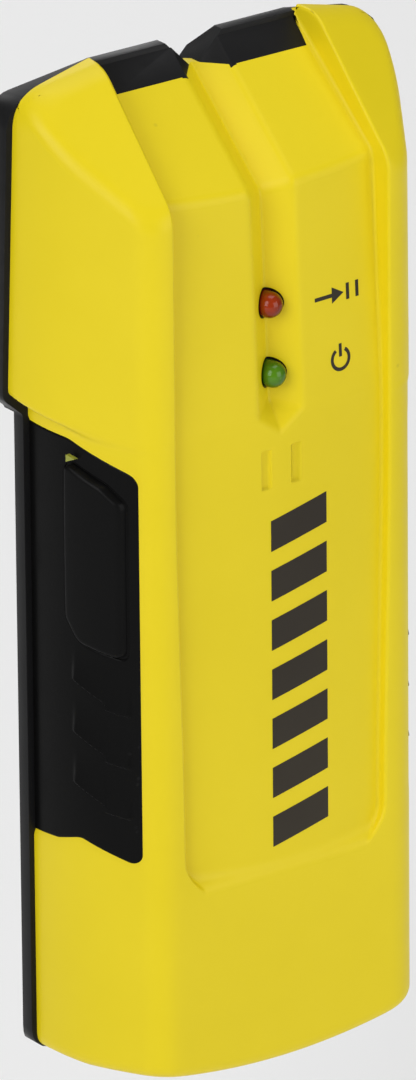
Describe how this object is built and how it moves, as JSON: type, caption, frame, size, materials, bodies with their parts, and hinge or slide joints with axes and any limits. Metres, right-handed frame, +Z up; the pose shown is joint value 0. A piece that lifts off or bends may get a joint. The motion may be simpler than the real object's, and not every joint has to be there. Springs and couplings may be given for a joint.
{
  "type": "stud finder",
  "caption": "Hand held stud finder: yellow front shell with a grooved channel, black rear shell with a marking notch, side grips, push button, red and green lamps and a sliding battery door.",
  "frame": {"origin": "middle of the sliding face that rests on the wall, on the centre line", "axes": "+Z up along the case towards the marking notch, +Y towards the wall, +X to the right seen from the front"},
  "size_m": [0.0696, 0.0263, 0.1555],
  "materials": {
    "yellow_shell": "satin moulded shell",
    "black_shell": "satin moulded shell",
    "black_grip": "soft satin grip",
    "button_black": "soft satin push pad",
    "mark_green": "printed mark",
    "battery_sleeve": "printed sleeve",
    "plated_metal": "bright plating",
    "snap_black": "soft vinyl",
    "lead_red": "insulation",
    "lead_black": "insulation",
    "foam": "open foam",
    "board_green": "solder mask",
    "copper": "bare copper",
    "chip_black": "moulded epoxy",
    "ceramic_dark": "fired ceramic",
    "can_blue": "printed sleeve",
    "natural_nylon": "natural nylon",
    "lens_red": "clear tinted lens",
    "lens_green": "clear tinted lens",
    "steel_dark": "black oxide",
    "felt": "short felt",
    "foil": "brushed foil"
  },
  "bodies": {
    "case": {"front_cover": "yellow_shell", "rear_cover": "black_shell", "grip_left": "black_grip", "grip_right": "black_grip", "button_mark": "mark_green", "battery_can": "battery_sleeve", "battery_studs": "plated_metal", "snap_cap": "snap_black", "lead_red": "lead_red", "lead_black": "lead_black", "foam_pad": "foam", "circuit_board": "board_green", "sensor_plates": "copper", "controller_chip": "chip_black", "resistors": "ceramic_dark", "capacitors": "can_blue", "crystal": "plated_metal", "buzzer": "chip_black", "lamp_holder": "natural_nylon", "lamp_red": "lens_red", "lamp_green": "lens_green", "lamp_legs": "plated_metal", "switch_housing": "snap_black", "board_screws": "plated_metal", "case_screws": "steel_dark", "glide_pads": "felt", "rating_plate": "foil"},
    "button": {"power_button": "button_black"},
    "plunger": {"switch_plunger": "natural_nylon"},
    "door": {"battery_door": "black_shell", "door_catch": "black_shell"}
  },
  "joints": [
    {"name": "button_press", "type": "slide", "parent": "case", "child": "button", "axis": [1, 0, 0], "range_m": [0, 0.0008], "stiffness_N_per_m": 600, "springref_m": -0.001},
    {"name": "plunger_press", "type": "slide", "parent": "case", "child": "plunger", "axis": [1, 0, 0], "range_m": [0, 0.0008]},
    {"name": "door_slide", "type": "slide", "parent": "case", "child": "door", "axis": [0, 0, -1], "range_m": [0, 0.062]}
  ],
  "couplings": [
    {"joint": "plunger_press", "follows": "button_press", "ratio": 1}
  ]
}
